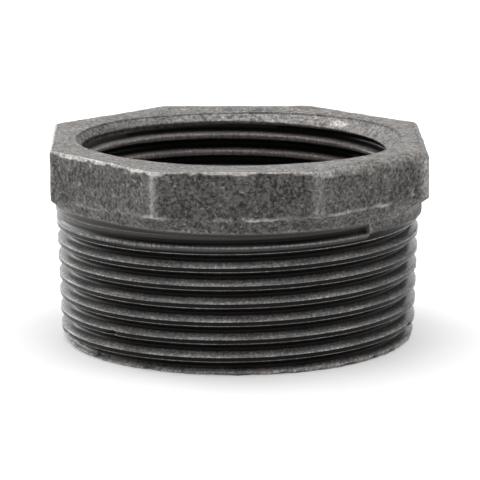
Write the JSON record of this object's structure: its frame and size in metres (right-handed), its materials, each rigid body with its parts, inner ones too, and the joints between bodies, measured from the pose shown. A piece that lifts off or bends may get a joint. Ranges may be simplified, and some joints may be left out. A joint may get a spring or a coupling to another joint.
{
  "type": "reducing bushing",
  "caption": "Screwed iron reducing bushing: an eight-sided head over a short collar, a tapered male pipe thread outside and a parallel female pipe thread inside.",
  "frame": {"origin": "on the axis, in the plane of the thread end that the part stands on", "axes": "+Z along the axis from the thread end to the head; one flat of the head faces -Y and another +X"},
  "size_m": [0.0492, 0.0492, 0.0263],
  "materials": {
    "casting": "black malleable iron as cast, with oiled machine-cut threads"
  },
  "bodies": {
    "root": {"bushing": "casting"}
  },
  "joints": []
}
